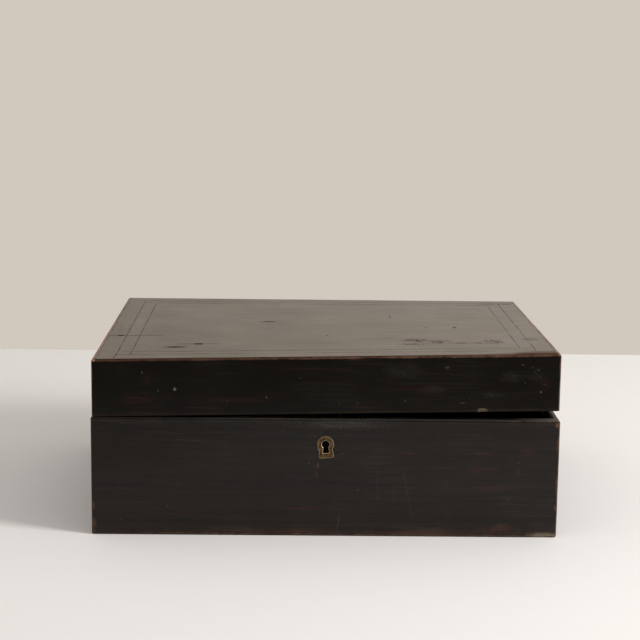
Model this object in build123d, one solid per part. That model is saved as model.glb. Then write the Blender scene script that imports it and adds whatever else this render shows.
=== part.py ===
from build123d import *
import os
from math import cos, radians, sin, tan

# An old ebonised wooden box with a hinged lid, in millimetres.
# X runs along the front, Y from front to back, Z up. The origin is the middle of the footprint.
# The lid is shut and unlocked, and has warped, so it stands open at its right front corner.

# Carcass
box_width = 305.0
box_depth = 241.0
base_height = 78.7
lid_height = 37.8
wall = 8.0
base_arris = 1.1

# Lid
lid_side_step = 0.75          # how far the shrunken lid stands in from the base at each side
rear_gap = 0.6                # gap over the rim at the hinges
left_gap = 0.4                # gap over the rim at the left front corner
right_gap = 6.8               # gap over the rim at the right front corner, from the warp
lid_lip = 2.8                 # edge of the lid's sides that shows round the top panel
panel_thickness = 6.0
lid_arris = 1.6               # round the top and down the corners
lid_foot_arris = 0.6

# Stringing let into the top panel
outer_line_inset = 14.3
inner_line_inset = 23.6
line_width = 0.9
line_depth = 1.0

# Lapped dovetails
joint_lap = 2.8               # wood of the front and back left over the tails' ends
tail_angle = 9.0
tail_root_share = 0.52        # root of a tail as a share of the pitch
base_tails = 4
lid_tails = 2

# Bottom board and its brads
bottom_thickness = 5.0
bottom_lip = 4.0              # wall left outside the bottom board
brad_shank = 1.2              # across the square shank
brad_head = 2.2
brad_head_thickness = 0.6
brad_length = 11.0
brads_across = 4
brads_deep = 3

# Butt hinges
lid_opening = 100.0           # degrees at which the chamfered back edges meet
stop_gap = 0.3                # gap left between those chamfers when the lid is open
pivot_inset = 2.4             # hinge line in from the back face
hinge_inset = 57.5            # middle of each hinge in from the end of the back
hinge_length = 38.0
leaf_thickness = 1.2
leaf_setback = 0.2            # leaf in from the wall's inner face
knuckle_radius = 2.0
knuckles = 5
knuckle_gap = 0.2
hinge_pin_radius = 0.8
pin_play = 0.05
groove_play = 0.3
hinge_screws = 2
hinge_screw_pitch = 24.0
hinge_screw_head = 2.8
hinge_screw_shank = 1.4
hinge_screw_length = 6.0

# Keyhole and escutcheon
key_below_rim = 16.8
keyhole_head = 5.0
keyhole_waist = 2.6
keyhole_foot = 4.4
keyhole_drop = 5.8            # from the middle of the head to the foot
escutcheon_head = 11.0
escutcheon_waist = 8.0
escutcheon_foot = 10.2
escutcheon_drop = 9.2
escutcheon_thickness = 1.5
escutcheon_corner = 1.2
escutcheon_tilt = 4.5         # degrees out of upright

# Box lock
lock_width = 54.0
lock_drop = 28.0              # back plate below the rim
lock_depth = 5.6              # from the inner face of the front into the wood
lock_sheet = 1.3
cap_width = 43.6
cap_drop = 25.2
cap_sheet = 0.8
mortise_slack = 0.2
lock_screw_inset = 2.5        # from the ends of the back plate
lock_screw_top = 6.0          # below the rim
lock_screw_bottom = 23.0
lock_screw_head = 3.4
lock_screw_shank = 1.8
lock_screw_length = 5.5
drill_pin_radius = 0.8
drill_pin_proud = 0.5         # beyond the cap
stud_radius = 1.0
stud_left = 13.5              # left of the keyhole
stud_right = 8.0              # right of the keyhole
stud_play = 0.08

# Hooks on the lid's link plate
hook_spread = 18.0
hook_thickness = 1.8
hook_shank = 2.2
hook_toe = 3.2
hook_toe_height = 1.5
hook_play = 0.4               # round the hook in its slot
link_screw_spread = 40.0
link_screw_length = 7.0

# Bolt
bolt_thickness = 1.8
bolt_play = 0.3               # between the bolt and the back plate
finger_play = 0.4             # between a finger and the selvedge
finger_height = 2.2
finger_seat = 0.3             # between a finger and the toe that it passes over
finger_gap = 0.6              # from a fingertip to its hook when unlocked
tip_gap = 0.3                 # from a fingertip to its hook when locked
arm_gap = 0.4
arm_width = 3.0
bar_below_toe = 2.3
bar_height = 5.5
bar_right = 13.0              # right end of the bar, from the keyhole
talon_width = 5.0
talon_depth = 2.0

# Bolt spring
spring_thickness = 0.6
spring_breadth = 1.6
spring_radius = 8.4
spring_foot = 1.6
spring_seat = 0.2             # between the spring's crown and the bolt
spring_sweep = 112.0          # degrees

# Cut used to open faces cleanly
overrun = 20.0

# Screw heads
head_slope = 45.0             # degrees of the countersink
small_flats = 12              # flats that stand for the round of a screw, stud or hinge pin
slot_width_share = 0.2        # of the head
slot_depth_share = 0.2

# Places worked out from the sizes above
half_width = box_width / 2
half_depth = box_depth / 2
lid_half = half_width - lid_side_step
inside_x = half_width - wall
inside_y = half_depth - wall
lid_inside_x = lid_half - wall
rim = base_height
pivot_y = half_depth - pivot_inset
pivot_z = rim + rear_gap / 2
leaf_front = inside_y + leaf_setback
knuckle_clear = knuckle_radius + groove_play
key_z = rim - key_below_rim
plate_face = -inside_y - lock_sheet
lock_face = -inside_y - lock_depth
cap_half = cap_width / 2
selvedge_under = rim - lock_sheet
finger_top = selvedge_under - finger_play
finger_under = finger_top - finger_height
toe_top = finger_under - finger_seat
toe_under = toe_top - hook_toe_height
bar_top = toe_under - bar_below_toe
bar_under = bar_top - bar_height
stud_z = bar_top - bar_height / 2
finger_reach = hook_toe + arm_gap
bolt_throw = finger_gap + hook_toe - tip_gap
bolt_rear = plate_face - bolt_play
bolt_front = bolt_rear - bolt_thickness
hook_middle = (plate_face + lock_face + cap_sheet) / 2
hook_centres = (-hook_spread / 2, hook_spread / 2)
hinge_centres = (hinge_inset - half_width, half_width - hinge_inset)


def block(x0, x1, y0, y1, z0, z1):
    """Square-edged solid between two corners."""
    middle = Pos((x0 + x1) / 2, (y0 + y1) / 2, (z0 + z1) / 2)
    return middle * Box(x1 - x0, y1 - y0, z1 - z0)


def upright(outline, y0, y1):
    """Outline drawn in X and Z, made solid from y0 back to y1."""
    face = Plane((0, y1, 0), x_dir=(1, 0, 0), z_dir=(0, -1, 0))
    return extrude(face * outline, y1 - y0)


def sidelong(points, x0, x1):
    """Outline given as Y and Z points, made solid from x0 to x1."""
    outline = make_face(Polyline(*[(x0, y, z) for y, z in points], close=True))
    return extrude(outline, x1 - x0, dir=(1, 0, 0))


def rectangle(x0, x1, z0, z1):
    return Pos((x0 + x1) / 2, (z0 + z1) / 2) * Rectangle(x1 - x0, z1 - z0)


def rod(x0, x1, radius):
    """Round bar along X, centred on the hinge line."""
    return Pos((x0 + x1) / 2, pivot_y, pivot_z) * Rot(0, 90, 0) * Cylinder(radius, x1 - x0)


def spindle(x0, x1, radius):
    """Bar along X on the hinge line, with flats that stand for its round."""
    return Pos(x0, pivot_y, pivot_z) * Rot(0, 90, 0) * extrude(RegularPolygon(radius, small_flats), x1 - x0)


# Warped lid

def lift(x, y):
    """How far the warped lid stands over the rim at a point."""
    forward = (half_depth - y) / box_depth
    across = (x + lid_half) / (lid_half + lid_half)
    front = left_gap + (right_gap - left_gap) * across
    return rear_gap + (front - rear_gap) * forward


def warped(x0, x1, y0, y1, z0, z1):
    """Block whose lower and upper faces follow the lid's twist. Heights are above the lid's foot."""
    ends = []
    for x in (x0, x1):
        corners = [(y0, z0), (y1, z0), (y1, z1), (y0, z1)]
        points = [(x, y, rim + z + lift(x, y)) for y, z in corners]
        ends.append(make_face(Polyline(*points, close=True)))
    return loft(ends, ruled=True)


def warped_over(half_x, half_y, z0, z1):
    return warped(-half_x, half_x, -half_y, half_y, z0, z1)


# Screws and brads, each with its head's face at the origin and its point towards -Z

def ring(radius, z):
    """Corners of a flat-sided round about the Z axis."""
    return [(Pos(0, 0, z) * spot).position for spot in PolarLocations(radius, small_flats)]


def screw_blank(head, shank, length):
    """Countersunk head and shank with flat sides."""
    sink = (head - shank) / 2 / tan(radians(head_slope))
    rings = [ring(head / 2, 0), ring(shank / 2, -sink), ring(shank / 2, -length)]
    outlines = [rings[0], rings[-1]]
    for upper, lower in zip(rings, rings[1:]):
        outlines += [(upper[i - 1], upper[i], lower[i], lower[i - 1]) for i in range(small_flats)]
    return Solid(Shell([Face(Wire.make_polygon(outline)) for outline in outlines]))


def screw(head, shank, length):
    depth = head * slot_depth_share
    slot = Pos(0, 0, -depth / 2) * Box(head + overrun, head * slot_width_share, depth)
    return screw_blank(head, shank, length) - slot


def brad():
    """Cut brad, square in section."""
    head = Pos(0, 0, -brad_head_thickness / 2) * Box(brad_head, brad_head, brad_head_thickness)
    return head + Pos(0, 0, -brad_length / 2) * Box(brad_shank, brad_shank, brad_length)


def hinge_screw_places(face_z, upward):
    """Places of the screws in both leaves of one kind."""
    turn = Rot(180, 0, 0) if upward else Rot(0, 0, 0)
    y = (leaf_front + pivot_y - knuckle_clear) / 2
    first = -hinge_screw_pitch * (hinge_screws - 1) / 2
    rows = [first + hinge_screw_pitch * i for i in range(hinge_screws)]
    return [Pos(centre + row, y, face_z) * turn for centre in hinge_centres for row in rows]


base_leaf_screws = hinge_screw_places(rim, upward=False)
lid_leaf_screws = hinge_screw_places(rim + rear_gap, upward=True)
lock_screw_places = [
    Pos(side * (lock_width / 2 - lock_screw_inset), -inside_y, rim - below) * Rot(-90, 0, 0)
    for side in (-1, 1)
    for below in (lock_screw_top, lock_screw_bottom)
]
link_screw_places = [
    Pos(x, (lock_face - inside_y) / 2, rim + lift(x, (lock_face - inside_y) / 2)) * Rot(180, 0, 0)
    for x in (-link_screw_spread / 2, link_screw_spread / 2)
]


def brad_places():
    """Brads along the middle of the ledge that the bottom board sits on."""
    ledge = (wall + bottom_lip) / 2
    across = [inside_x * (2 * (i + 0.5) / brads_across - 1) for i in range(brads_across)]
    deep = [inside_y * (2 * (i + 0.5) / brads_deep - 1) for i in range(brads_deep)]
    spots = [(x, side * (half_depth - ledge)) for side in (-1, 1) for x in across]
    spots += [(side * (half_width - ledge), y) for side in (-1, 1) for y in deep]
    return [Pos(x, y, 0) * Rot(180, 0, 0) for x, y in spots]


def placed(piece, places):
    return [place * piece for place in places]


def hinge_blank():
    return screw_blank(hinge_screw_head, hinge_screw_shank, hinge_screw_length)


def lock_blank(length):
    return screw_blank(lock_screw_head, lock_screw_shank, length)


# Dovetailed corners

def tails(side, inner, foot, height, count, foot_lift):
    """Tails on both ends of one side board, as solids that run out past its outer face."""
    pitch = height / count
    root = pitch * tail_root_share / 2
    length = wall - joint_lap
    flare = length * tan(radians(tail_angle))
    x0, x1 = sorted((side * inner, side * (half_width + overrun)))
    made = []
    for end in (-1, 1):
        shoulder, tip = end * inside_y, end * (half_depth - joint_lap)
        base = foot + foot_lift(end)
        for i in range(count):
            z = base + pitch * (i + 0.5)
            points = [(shoulder, z - root), (tip, z - root - flare),
                      (tip, z + root + flare), (shoulder, z + root)]
            made.append(sidelong(points, x0, x1))
    return made


def side_region(side, inner, foot, height, count, foot_lift=lambda end: 0):
    """Everything that belongs to one side board, whose inner face is that far from the middle."""
    x0, x1 = sorted((side * inner, side * (half_width + overrun)))
    between = block(x0, x1, -inside_y, inside_y, -overrun, rim + lid_height + overrun)
    return between + tails(side, inner, foot, height, count, foot_lift)


def end_region(end):
    """Everything that belongs to the front or back board, before the tails are cut from it."""
    y0, y1 = sorted((end * inside_y, end * (half_depth + overrun)))
    reach = half_width + overrun
    return block(-reach, reach, y0, y1, -overrun, rim + lid_height + overrun)


def corner_lift(side):
    """Lift of the lid's foot at the front (-1) and back (1) corners of one side."""
    return lambda end: lift(side * lid_half, end * half_depth)


def back_chamfer(upper):
    """What the chamfer takes off the back edge of the lid (upper) or of the base."""
    sign = 1 if upper else -1
    half = radians(lid_opening / 2)
    along = (cos(half), sign * sin(half))
    out = (sin(half), -sign * cos(half))
    start = (pivot_y - out[0] * stop_gap / 2, pivot_z - out[1] * stop_gap / 2)
    far = (start[0] + along[0] * overrun, start[1] + along[1] * overrun)
    points = [start, far, (far[0] + out[0] * overrun, far[1] + out[1] * overrun),
              (start[0] + out[0] * overrun, start[1] + out[1] * overrun)]
    return sidelong(points, -half_width - overrun, half_width + overrun)


def hinge_cuts(z0, z1):
    """Seats of the leaves between two heights, and the grooves for the knuckles."""
    cuts = []
    for centre in hinge_centres:
        x0, x1 = centre - hinge_length / 2, centre + hinge_length / 2
        cuts.append(block(x0, x1, leaf_front, pivot_y, z0, z1))
        cuts.append(rod(x0 - groove_play, x1 + groove_play, knuckle_clear))
    return cuts


# Keyhole

def keyhole(head, waist, foot, drop, corner=0):
    """Round head over a flared slot, with the head's middle at the origin."""
    slot = make_face(Polyline((-waist / 2, 0), (waist / 2, 0), (foot / 2, -drop), (-foot / 2, -drop),
                              close=True))
    if corner:
        slot = fillet(slot.vertices().sort_by(Axis.Y)[:2], corner)
    return Pos(0, key_z) * Rot(0, 0, escutcheon_tilt) * (Circle(head / 2) + slot)


keyhole_outline = keyhole(keyhole_head, keyhole_waist, keyhole_foot, keyhole_drop)
escutcheon_outline = keyhole(escutcheon_head, escutcheon_waist, escutcheon_foot, escutcheon_drop,
                             escutcheon_corner)


def escutcheon():
    return upright(escutcheon_outline - keyhole_outline, -half_depth, -half_depth + escutcheon_thickness)


# Lock

def lock_studs():
    """Studs that rivet the cap to the back plate and guide the bolt."""
    outline = [Pos(x, stud_z) * RegularPolygon(stud_radius, small_flats) for x in (-stud_left, stud_right)]
    return [upright(spot, lock_face, -inside_y) for spot in outline]


def drill_pin():
    outline = Pos(0, key_z) * RegularPolygon(drill_pin_radius, small_flats)
    return upright(outline, lock_face - drill_pin_proud, -inside_y)


def hook_slot(centre):
    """Slot in the selvedge for one hook."""
    x0 = centre - hook_shank / 2 - hook_toe - hook_play
    x1 = centre + hook_shank / 2 + hook_play
    half = hook_thickness / 2 + hook_play
    return block(x0, x1, hook_middle - half, hook_middle + half, selvedge_under - overrun, rim + overrun)


def lock_plate():
    """Back plate with the selvedge turned over its top."""
    half = lock_width / 2
    back = block(-half, half, plate_face, -inside_y, rim - lock_drop, rim)
    selvedge = block(-half, half, lock_face, -inside_y, selvedge_under, rim)
    slots = [hook_slot(centre) for centre in hook_centres]
    seats = placed(lock_blank(lock_screw_length), lock_screw_places)
    return back + selvedge - slots - seats - lock_studs() - drill_pin()


def cap_outer(slack=0.0):
    return block(-cap_half - slack, cap_half + slack, lock_face, plate_face,
                 rim - cap_drop - slack, selvedge_under)


def lock_cap():
    """Tray over the works, open at the top under the selvedge."""
    inner = block(cap_sheet - cap_half, cap_half - cap_sheet, lock_face + cap_sheet, plate_face,
                  rim - cap_drop + cap_sheet, selvedge_under)
    return cap_outer() - inner - upright(keyhole_outline, lock_face, plate_face) - lock_studs()


def bolt():
    """Bar with two fingers that pass over the toes of the lid's hooks."""
    outline = None
    for centre in hook_centres:
        tip = centre - hook_shank / 2 - hook_toe - finger_gap
        arm = tip - finger_reach
        finger = rectangle(arm - arm_width, tip, finger_under, finger_top)
        stem = rectangle(arm - arm_width, arm, bar_top - bar_height / 2, finger_top)
        outline = finger + stem if outline is None else outline + finger + stem
    bar_left = hook_centres[0] - hook_shank / 2 - hook_toe - finger_gap - finger_reach - arm_width
    outline += rectangle(bar_left, bar_right, bar_under, bar_top)
    slot_radius = stud_radius + stud_play
    for x in (-stud_left, stud_right):
        run = Pos(x - bolt_throw / 2, stud_z) * SlotCenterToCenter(bolt_throw, 2 * slot_radius)
        outline -= run
    talon = -bolt_throw / 2
    outline -= rectangle(talon - talon_width / 2, talon + talon_width / 2, bar_under, bar_under + talon_depth)
    return upright(outline, bolt_front, bolt_rear)


def bolt_spring():
    """Bowed leaf from the cap's side that bears up on the bolt."""
    x = cap_half - cap_sheet - spring_thickness / 2 - spring_radius
    z = bar_under - spring_seat - spring_thickness / 2 - spring_radius
    bow = CenterArc((x, z), spring_radius, 0, spring_sweep)
    foot = Line((x + spring_radius, z), (x + spring_radius, z - spring_foot))
    middle = (bolt_front + bolt_rear) / 2
    leaf = trace(bow, spring_thickness) + trace(foot, spring_thickness)
    return upright(leaf, middle - spring_breadth / 2, middle + spring_breadth / 2)


def hooks():
    """Shanks that hang from the link plate, with toes towards the bolt's fingers."""
    made = []
    for centre in hook_centres:
        x0, x1 = centre - hook_shank / 2, centre + hook_shank / 2
        shank = rectangle(x0, x1, toe_under, rim + overrun)
        toe = rectangle(x0 - hook_toe, x0, toe_under, toe_top)
        y0, y1 = hook_middle - hook_thickness / 2, hook_middle + hook_thickness / 2
        above = warped(x0 - hook_toe, x1 + hook_toe, y0 - hook_toe, y1 + hook_toe,
                       lock_sheet, lock_sheet + overrun)
        made.append(upright(shank + toe, y0, y1) - above)
    return made


def link_seat(under=0.0):
    """Place of the link plate in the lid's front, run out below by a given amount."""
    half = lock_width / 2
    return warped(-half, half, lock_face, -inside_y, -under, lock_sheet)


def link_plate():
    return link_seat() - hooks() - placed(lock_blank(link_screw_length), link_screw_places)


# Hinges

def knuckle_spans(centre, first):
    """Ends of every other knuckle along one hinge, from the first (0) or the second (1)."""
    pitch = hinge_length / knuckles
    start = centre - hinge_length / 2
    spans = []
    for i in range(first, knuckles, 2):
        spans.append((start + pitch * i + knuckle_gap / 2, start + pitch * (i + 1) - knuckle_gap / 2))
    return spans


def leaf(centre, z0, z1, first, play):
    """Plate of one leaf, cut back round the other leaf's knuckles, with its own knuckles on it."""
    plate = block(centre - hinge_length / 2, centre + hinge_length / 2,
                  leaf_front, pivot_y - knuckle_clear, z0, z1)
    for x0, x1 in knuckle_spans(centre, first):
        plate += block(x0, x1, leaf_front, pivot_y, z0, z1) + rod(x0, x1, knuckle_radius)
    bore = spindle(centre - hinge_length, centre + hinge_length, hinge_pin_radius + play)
    return plate - bore


def base_leaf(centre):
    plate = leaf(centre, rim - leaf_thickness, rim, 0, 0)
    return plate - placed(hinge_blank(), base_leaf_screws)


def lid_leaf(centre):
    foot = rim + rear_gap
    plate = leaf(centre, foot, foot + leaf_thickness, 1, pin_play)
    return plate - placed(hinge_blank(), lid_leaf_screws)


def hinge_pin(centre):
    return spindle(centre - hinge_length / 2, centre + hinge_length / 2, hinge_pin_radius)


# Base

def bottom_board():
    reach_x, reach_y = half_width - bottom_lip, half_depth - bottom_lip
    return block(-reach_x, reach_x, -reach_y, reach_y, 0, bottom_thickness)


def base_carcass():
    """Base in one piece: rounded outside, hollow, and cut for the bottom board and the hinges."""
    solid = block(-half_width, half_width, -half_depth, half_depth, 0, rim)
    solid = fillet(solid.edges(), base_arris)
    solid -= block(-inside_x, inside_x, -inside_y, inside_y, -overrun, rim + overrun)
    solid -= [bottom_board(), back_chamfer(upper=False)]
    solid -= hinge_cuts(rim - leaf_thickness, rim + overrun)
    solid -= placed(hinge_blank(), base_leaf_screws)
    return solid - placed(brad(), brad_places())


def front_cuts():
    """Mortise of the lock, keyhole and seat of the escutcheon."""
    half = lock_width / 2
    seat = block(-half, half, plate_face, -inside_y, rim - lock_drop, rim + overrun)
    selvedge = block(-half, half, lock_face, -inside_y, selvedge_under, rim + overrun)
    cuts = [seat, selvedge, cap_outer(mortise_slack)]
    cuts.append(upright(keyhole_outline, -half_depth - overrun, lock_face))
    cuts.append(upright(escutcheon_outline, -half_depth - overrun, -half_depth + escutcheon_thickness))
    return cuts + placed(lock_blank(lock_screw_length), lock_screw_places)


def base_boards():
    carcass = base_carcass()
    sides = [side_region(side, inside_x, 0, rim, base_tails) for side in (-1, 1)]
    left, right = [carcass & region for region in sides]
    front, back = [(carcass & end_region(end)) - sides for end in (-1, 1)]
    return {
        "base_front": front - front_cuts(),
        "base_back": back,
        "base_left_side": left,
        "base_right_side": right,
    }


# Lid

def panel_space(z0, z1):
    return warped_over(lid_half - lid_lip, half_depth - lid_lip, z0, z1)


def arrises(solid):
    """Level edges of the warped lid: those round its foot, and those round its top."""
    middle = rim + (lid_height + right_gap) / 2
    level = [edge for edge in solid.edges() if abs(edge.tangent_at(0).Z) < cos(radians(head_slope))]
    foot = [edge for edge in level if edge.center().Z < middle - lid_height / 4]
    return foot, [edge for edge in level if edge.center().Z > middle]


def lid_carcass():
    """Lid's four sides in one piece, with the rebate for the top panel."""
    solid = warped_over(lid_half, half_depth, 0, lid_height)
    solid = fillet(arrises(solid)[1] + solid.edges().filter_by(Axis.Z), lid_arris)
    solid = fillet(arrises(solid)[0], lid_foot_arris)
    solid -= warped_over(lid_inside_x, inside_y, -overrun, lid_height + overrun)
    solid -= [panel_space(lid_height - panel_thickness, lid_height + overrun), back_chamfer(upper=True)]
    foot = rim + rear_gap
    solid -= hinge_cuts(foot - overrun, foot + leaf_thickness)
    return solid - placed(hinge_blank(), lid_leaf_screws)


def lid_boards():
    carcass = lid_carcass()
    sides = [side_region(side, lid_inside_x, rim, lid_height, lid_tails, corner_lift(side))
             for side in (-1, 1)]
    left, right = [carcass & region for region in sides]
    front, back = [(carcass & end_region(end)) - sides for end in (-1, 1)]
    front -= [link_seat(under=overrun)] + placed(lock_blank(link_screw_length), link_screw_places)
    return {"lid_front": front, "lid_back": back, "lid_left_side": left, "lid_right_side": right}


def line_strips(inset):
    """Four mitred strips of stringing, flush with the warped top."""
    skin = panel_space(lid_height - line_depth, lid_height)
    rings = []
    for d in (inset, inset + line_width):
        x, y = lid_half - d, half_depth - d
        rings.append([(-x, -y), (x, -y), (x, y), (-x, y)])
    strips = []
    for i in range(len(rings[0])):
        j = (i + 1) % len(rings[0])
        points = [rings[0][i], rings[0][j], rings[1][j], rings[1][i]]
        outline = make_face(Polyline(*[(x, y, rim) for x, y in points], close=True))
        strips.append(extrude(outline, lid_height + overrun, dir=(0, 0, 1)) & skin)
    return strips


def top_panel():
    panel = panel_space(lid_height - panel_thickness, lid_height)
    return panel - line_strips(outer_line_inset) - line_strips(inner_line_inset)


def pieces():
    nodes = base_boards()
    nodes["base_bottom"] = bottom_board() - placed(brad(), brad_places())
    nodes["bottom_brads"] = placed(brad(), brad_places())
    nodes["escutcheon"] = escutcheon()
    nodes["lock_plate"] = lock_plate()
    nodes["lock_cap"] = lock_cap()
    nodes["lock_studs"] = lock_studs()
    nodes["lock_drill_pin"] = drill_pin()
    nodes["lock_spring"] = bolt_spring()
    nodes["lock_screws"] = placed(screw(lock_screw_head, lock_screw_shank, lock_screw_length),
                                  lock_screw_places)
    nodes["lock_bolt"] = bolt()
    nodes.update(lid_boards())
    nodes["lid_top_panel"] = top_panel()
    nodes["lid_outer_line"] = line_strips(outer_line_inset)
    nodes["lid_inner_line"] = line_strips(inner_line_inset)
    nodes["link_plate"] = link_plate()
    nodes["link_hooks"] = hooks()
    nodes["link_screws"] = placed(screw(lock_screw_head, lock_screw_shank, link_screw_length),
                                  link_screw_places)
    for name, centre in zip(("left", "right"), hinge_centres):
        nodes[f"{name}_hinge_base_leaf"] = base_leaf(centre)
        nodes[f"{name}_hinge_lid_leaf"] = lid_leaf(centre)
        nodes[f"{name}_hinge_pin"] = hinge_pin(centre)
    leaf_screw = screw(hinge_screw_head, hinge_screw_shank, hinge_screw_length)
    nodes["base_hinge_screws"] = placed(leaf_screw, base_leaf_screws)
    nodes["lid_hinge_screws"] = placed(leaf_screw, lid_leaf_screws)
    return nodes


os.makedirs("parts", exist_ok=True)
for name, shape in pieces().items():
    solid = Compound(children=shape) if isinstance(shape, list) else shape
    export_step(solid, f"parts/{name}.step")
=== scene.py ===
import random
from math import cos, radians, sin

import bmesh
import bpy
from mathutils import Matrix, Vector, noise


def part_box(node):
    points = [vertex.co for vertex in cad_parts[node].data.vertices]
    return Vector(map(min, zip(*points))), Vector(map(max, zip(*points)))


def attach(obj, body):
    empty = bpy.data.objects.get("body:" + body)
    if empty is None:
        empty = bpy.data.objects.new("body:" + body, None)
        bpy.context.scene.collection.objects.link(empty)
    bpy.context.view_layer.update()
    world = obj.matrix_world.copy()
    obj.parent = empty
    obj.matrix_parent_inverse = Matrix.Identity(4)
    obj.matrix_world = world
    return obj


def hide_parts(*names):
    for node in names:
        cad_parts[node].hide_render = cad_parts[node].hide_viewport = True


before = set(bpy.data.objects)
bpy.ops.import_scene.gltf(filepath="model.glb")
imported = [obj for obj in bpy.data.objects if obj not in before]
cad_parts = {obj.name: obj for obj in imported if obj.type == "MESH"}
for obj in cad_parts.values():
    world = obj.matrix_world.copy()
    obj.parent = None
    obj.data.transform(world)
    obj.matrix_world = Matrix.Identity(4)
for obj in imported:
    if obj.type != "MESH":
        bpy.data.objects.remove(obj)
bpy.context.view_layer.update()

bl_info = {
    "name": "Old ebonised box",
    "version": (1, 0, 0),
    "blender": (4, 5, 0),
    "location": "3D View > Sidebar > Old box",
    "description": "Wood, brass and steel finishes, worn edges, studio and camera for an old wooden box",
    "category": "Object",
}

MM = 0.001
MARK_SEED = 41

# Middle of the keyhole on the front, and half sizes of the painted shade that shows through it
KEYHOLE = (0, 60.6)
KEYHOLE_SHADE = (8, 11)

# The box's own sizes in millimetres, from the CAD parts in model.glb
HALF_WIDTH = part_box("base_front")[1].x / MM
HALF_DEPTH = -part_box("base_front")[0].y / MM
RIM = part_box("base_left_side")[1].z / MM
LID_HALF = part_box("lid_front")[1].x / MM
WALL = (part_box("base_front")[1].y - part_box("base_front")[0].y) / MM
FRONT, BACK = -HALF_DEPTH, HALF_DEPTH

# The top panel's thickness, how far in from the edges its joint and the two lines lie, and how far behind
# the front the painted shade on the lock's inside starts and ends
PANEL = 6
LID_LIP = 2.8
LINES_IN = (14.75, 24.05)
LOCK_SHADE = (1.2, 7.3)

# Roughness and index of refraction where the polish is gone
DRY_ROUGHNESS = 0.85
DRY_INDEX = 1.08

# Least turn of an edge that is kept, that shades sharp and that is eased, and the cosine above which a face
# belongs to the lid's twisted surface
FLAT = radians(0.5)
SHARP = radians(32)
EASED = radians(50)
TWISTED = 0.998

# Width in millimetres of the escutcheon's eased edges, and how near corners are joined
ESCUTCHEON_EASE = 0.55
WELD = 0.0005 * MM

# Stage: half the table's width in metres, its mottle, the heights in millimetres between which the backdrop's
# glow warms as painted lamp light, the fill's tint and the camera's sensor in millimetres
TABLE_REACH = 2.4
MOTTLE = (0.5, 0.48, 0.46, 1)
WARMER = (385, 430)
FILL_TINT = (1, 0.985, 0.97, 1)
SENSOR = 36


def srgb(red, green, blue):
    """Colour written as on a screen, from 0 to 255, in Blender's own linear values."""
    linear = []
    for part in (red, green, blue):
        share = part / 255
        linear.append(share / 12.92 if share <= 0.04045 else ((share + 0.055) / 1.055) ** 2.4)
    return (*linear, 1)


def colour(name, description, red, green, blue):
    return bpy.props.FloatVectorProperty(name=name, description=description, subtype="COLOR", size=4,
                                         min=0, max=1, default=srgb(red, green, blue))


def amount(name, description, default, high=1):
    return bpy.props.FloatProperty(name=name, description=description, default=default, min=0, max=high)


def length(name, description, default):
    return bpy.props.FloatProperty(name=name, description=description, default=default, unit="LENGTH")


def refraction(name, description, default):
    return bpy.props.FloatProperty(name=name, description=description, default=default, min=1, max=2)


def angle(name, description, degrees):
    return bpy.props.FloatProperty(name=name, description=description, default=radians(degrees),
                                   subtype="ANGLE")


class WoodFinish(bpy.types.PropertyGroup):
    """Stain, polish and wear of the wood."""
    black: colour("Stain", "Black stain between the streaks", 15, 12, 10)
    brown: colour("Thin stain", "Brown where the stain is thin", 27, 20, 15)
    lid_brown: colour("Thin stain on the lid", "Brown where the lid's stain is thin", 16, 14, 10)
    top_brown: colour("Faded stain", "Brown of the faded stain on the top", 50, 37, 27)
    red: colour("Red streaks", "Red-brown wood that shows through the stain", 62, 26, 27)
    worn: colour("Worn wood", "Wood bared along the edges", 62, 40, 29)
    rubbed: colour("Rubbed wood", "Paler wood where an edge is worn most", 94, 71, 56)
    # Worn wood along the top's side arrises, made paler as a painted highlight
    pale_wear_and_highlight: colour("Pale arris", "Palest wood, along the side edges of the top", 154, 118, 92)
    tan: colour("Chipped wood", "Fresh wood in chips and dents", 108, 96, 79)
    bare: colour("Bare wood", "Unfinished wood inside", 98, 60, 40)
    bare_dark: colour("Bare wood pores", "Darker figure of the unfinished wood", 64, 37, 25)
    # Painted shade: black laid inside the keyhole, where no light reaches
    painted_shade: colour("Hollows", "Black inside the keyhole", 4, 4, 4)
    grey: colour("Dry polish", "Greyish bloom where the polish has dried out", 84, 82, 76)
    polish: amount("Polish roughness", "Roughness of the polished wood", 0.2)
    top_polish: amount("Top roughness", "Roughness of the polished top", 0.26)
    polish_index: refraction("Polish index", "Index of refraction of the thin polish", 1.29)
    lid_index: refraction("Lid polish index", "Index of refraction of the lid's polish", 1.18)
    top_index: refraction("Top polish index", "Index of refraction of the top's polish", 1.37)
    lid_wear: amount("Wear round the top", "Reach of the wear from the lid's top edge, in mm", 1.35, 5)
    rim_wear: amount("Wear of the rim", "Reach of the wear from the base's rim, in mm", 0.45, 5)
    corner_wear: amount("Wear of the corners", "Reach of the wear from the upright corners, in mm", 0.62, 5)
    foot_wear: amount("Wear of the feet", "Reach of the wear from the lower edges, in mm", 1.5, 5)


class MetalFinish(bpy.types.PropertyGroup):
    """Brass and steel."""
    brass: colour("Brass", "Brass where hands have kept it bright", 112, 92, 64)
    tarnish: colour("Tarnish", "Brown tarnish on the brass", 62, 46, 29)
    # Rubbed brass of the escutcheon's eased edges, made lighter still as a painted highlight
    rim: colour("Rubbed rim", "Brass of the escutcheon's rubbed edges", 184, 156, 112)
    dirt: colour("Dirt", "Dirt in the corners of the metal", 38, 32, 24)
    # Grime on the brass, and also painted shade laid nearly black on the lock's works and on the lock seen
    # through the keyhole
    grime_and_shade: colour("Grime", "Black grime inside the lock", 12, 10, 8)
    steel: colour("Steel", "Spring steel", 120, 118, 114)
    rust: colour("Rust", "Old rust on the steel", 86, 52, 34)


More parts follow.
